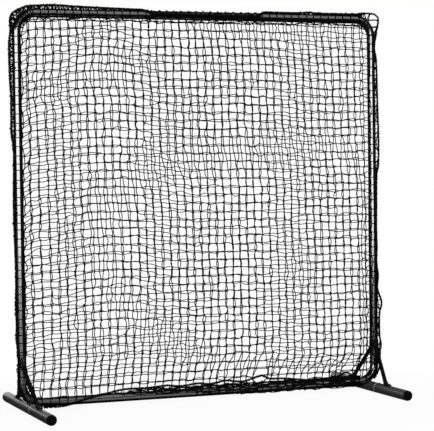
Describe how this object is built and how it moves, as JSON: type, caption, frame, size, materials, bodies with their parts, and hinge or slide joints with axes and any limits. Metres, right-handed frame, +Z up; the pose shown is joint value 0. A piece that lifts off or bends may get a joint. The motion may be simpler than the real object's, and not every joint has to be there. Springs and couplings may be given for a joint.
{
  "type": "pitching target net",
  "caption": "Free-standing square steel tube frame with a knotted net stretched over both faces, on two cross feet with bolted diagonal braces.",
  "frame": {"origin": "on the floor, midway between the two feet, in the plane of the frame", "axes": "+Z up; +X along the rails, to the right as seen from the front; +Y to the back, so the front net faces -Y"},
  "size_m": [2.1847, 0.965, 2.188],
  "materials": {
    "frame_coat": "gloss black powder coat",
    "foot_coat": "satin dark grey powder coat",
    "plug_plastic": "moulded black polyethylene",
    "black_steel": "black oxide",
    "spring_steel": "blued spring strip",
    "net_cord": "twisted black polyethylene twine",
    "rope_cord": "braided black polypropylene"
  },
  "bodies": {
    "frame": {"top_left_corner": "frame_coat", "top_right_corner": "frame_coat", "bottom_left_corner": "frame_coat", "bottom_right_corner": "frame_coat", "left_upright": "frame_coat", "right_upright": "frame_coat", "top_rail": "frame_coat", "bottom_rail": "frame_coat", "left_foot_hub": "foot_coat", "right_foot_hub": "foot_coat", "left_front_arm": "foot_coat", "left_back_arm": "foot_coat", "right_front_arm": "foot_coat", "right_back_arm": "foot_coat", "left_front_plug": "plug_plastic", "left_back_plug": "plug_plastic", "right_front_plug": "plug_plastic", "right_back_plug": "plug_plastic", "left_front_brace": "frame_coat", "left_back_brace": "frame_coat", "right_front_brace": "frame_coat", "right_back_brace": "frame_coat", "upright_bolts": "black_steel", "upright_nuts": "black_steel", "upright_washers": "black_steel", "foot_bolts": "black_steel", "foot_nuts": "black_steel", "foot_washers": "black_steel", "frame_button_springs": "spring_steel", "foot_button_springs": "spring_steel", "front_net": "net_cord", "back_net": "net_cord", "border_rope": "rope_cord", "hem_rope": "rope_cord"},
    "left_lower_button": {"left_lower_button": "black_steel"},
    "left_upper_button": {"left_upper_button": "black_steel"},
    "right_lower_button": {"right_lower_button": "black_steel"},
    "right_upper_button": {"right_upper_button": "black_steel"},
    "top_left_button": {"top_left_button": "black_steel"},
    "top_right_button": {"top_right_button": "black_steel"},
    "bottom_left_button": {"bottom_left_button": "black_steel"},
    "bottom_right_button": {"bottom_right_button": "black_steel"},
    "left_front_button": {"left_front_button": "black_steel"},
    "left_back_button": {"left_back_button": "black_steel"},
    "right_front_button": {"right_front_button": "black_steel"},
    "right_back_button": {"right_back_button": "black_steel"}
  },
  "joints": [
    {"name": "left_lower_button_press", "type": "slide", "parent": "frame", "child": "left_lower_button", "axis": [0, 1, 0], "range_m": [0, 0.0058], "stiffness_N_per_m": 2000, "springref_m": -0.002, "deforming": ["frame_button_springs"]},
    {"name": "left_upper_button_press", "type": "slide", "parent": "frame", "child": "left_upper_button", "axis": [0, 1, 0], "range_m": [0, 0.0058], "stiffness_N_per_m": 2000, "springref_m": -0.002, "deforming": ["frame_button_springs"]},
    {"name": "right_lower_button_press", "type": "slide", "parent": "frame", "child": "right_lower_button", "axis": [0, 1, 0], "range_m": [0, 0.0058], "stiffness_N_per_m": 2000, "springref_m": -0.002, "deforming": ["frame_button_springs"]},
    {"name": "right_upper_button_press", "type": "slide", "parent": "frame", "child": "right_upper_button", "axis": [0, 1, 0], "range_m": [0, 0.0058], "stiffness_N_per_m": 2000, "springref_m": -0.002, "deforming": ["frame_button_springs"]},
    {"name": "top_left_button_press", "type": "slide", "parent": "frame", "child": "top_left_button", "axis": [0, 1, 0], "range_m": [0, 0.0058], "stiffness_N_per_m": 2000, "springref_m": -0.002, "deforming": ["frame_button_springs"]},
    {"name": "top_right_button_press", "type": "slide", "parent": "frame", "child": "top_right_button", "axis": [0, 1, 0], "range_m": [0, 0.0058], "stiffness_N_per_m": 2000, "springref_m": -0.002, "deforming": ["frame_button_springs"]},
    {"name": "bottom_left_button_press", "type": "slide", "parent": "frame", "child": "bottom_left_button", "axis": [0, 1, 0], "range_m": [0, 0.0058], "stiffness_N_per_m": 2000, "springref_m": -0.002, "deforming": ["frame_button_springs"]},
    {"name": "bottom_right_button_press", "type": "slide", "parent": "frame", "child": "bottom_right_button", "axis": [0, 1, 0], "range_m": [0, 0.0058], "stiffness_N_per_m": 2000, "springref_m": -0.002, "deforming": ["frame_button_springs"]},
    {"name": "left_front_button_press", "type": "slide", "parent": "frame", "child": "left_front_button", "axis": [1, 0, 0], "range_m": [0, 0.0063], "stiffness_N_per_m": 2000, "springref_m": -0.002, "deforming": ["foot_button_springs"]},
    {"name": "left_back_button_press", "type": "slide", "parent": "frame", "child": "left_back_button", "axis": [1, 0, 0], "range_m": [0, 0.0063], "stiffness_N_per_m": 2000, "springref_m": -0.002, "deforming": ["foot_button_springs"]},
    {"name": "right_front_button_press", "type": "slide", "parent": "frame", "child": "right_front_button", "axis": [1, 0, 0], "range_m": [0, 0.0063], "stiffness_N_per_m": 2000, "springref_m": -0.002, "deforming": ["foot_button_springs"]},
    {"name": "right_back_button_press", "type": "slide", "parent": "frame", "child": "right_back_button", "axis": [1, 0, 0], "range_m": [0, 0.0063], "stiffness_N_per_m": 2000, "springref_m": -0.002, "deforming": ["foot_button_springs"]}
  ]
}
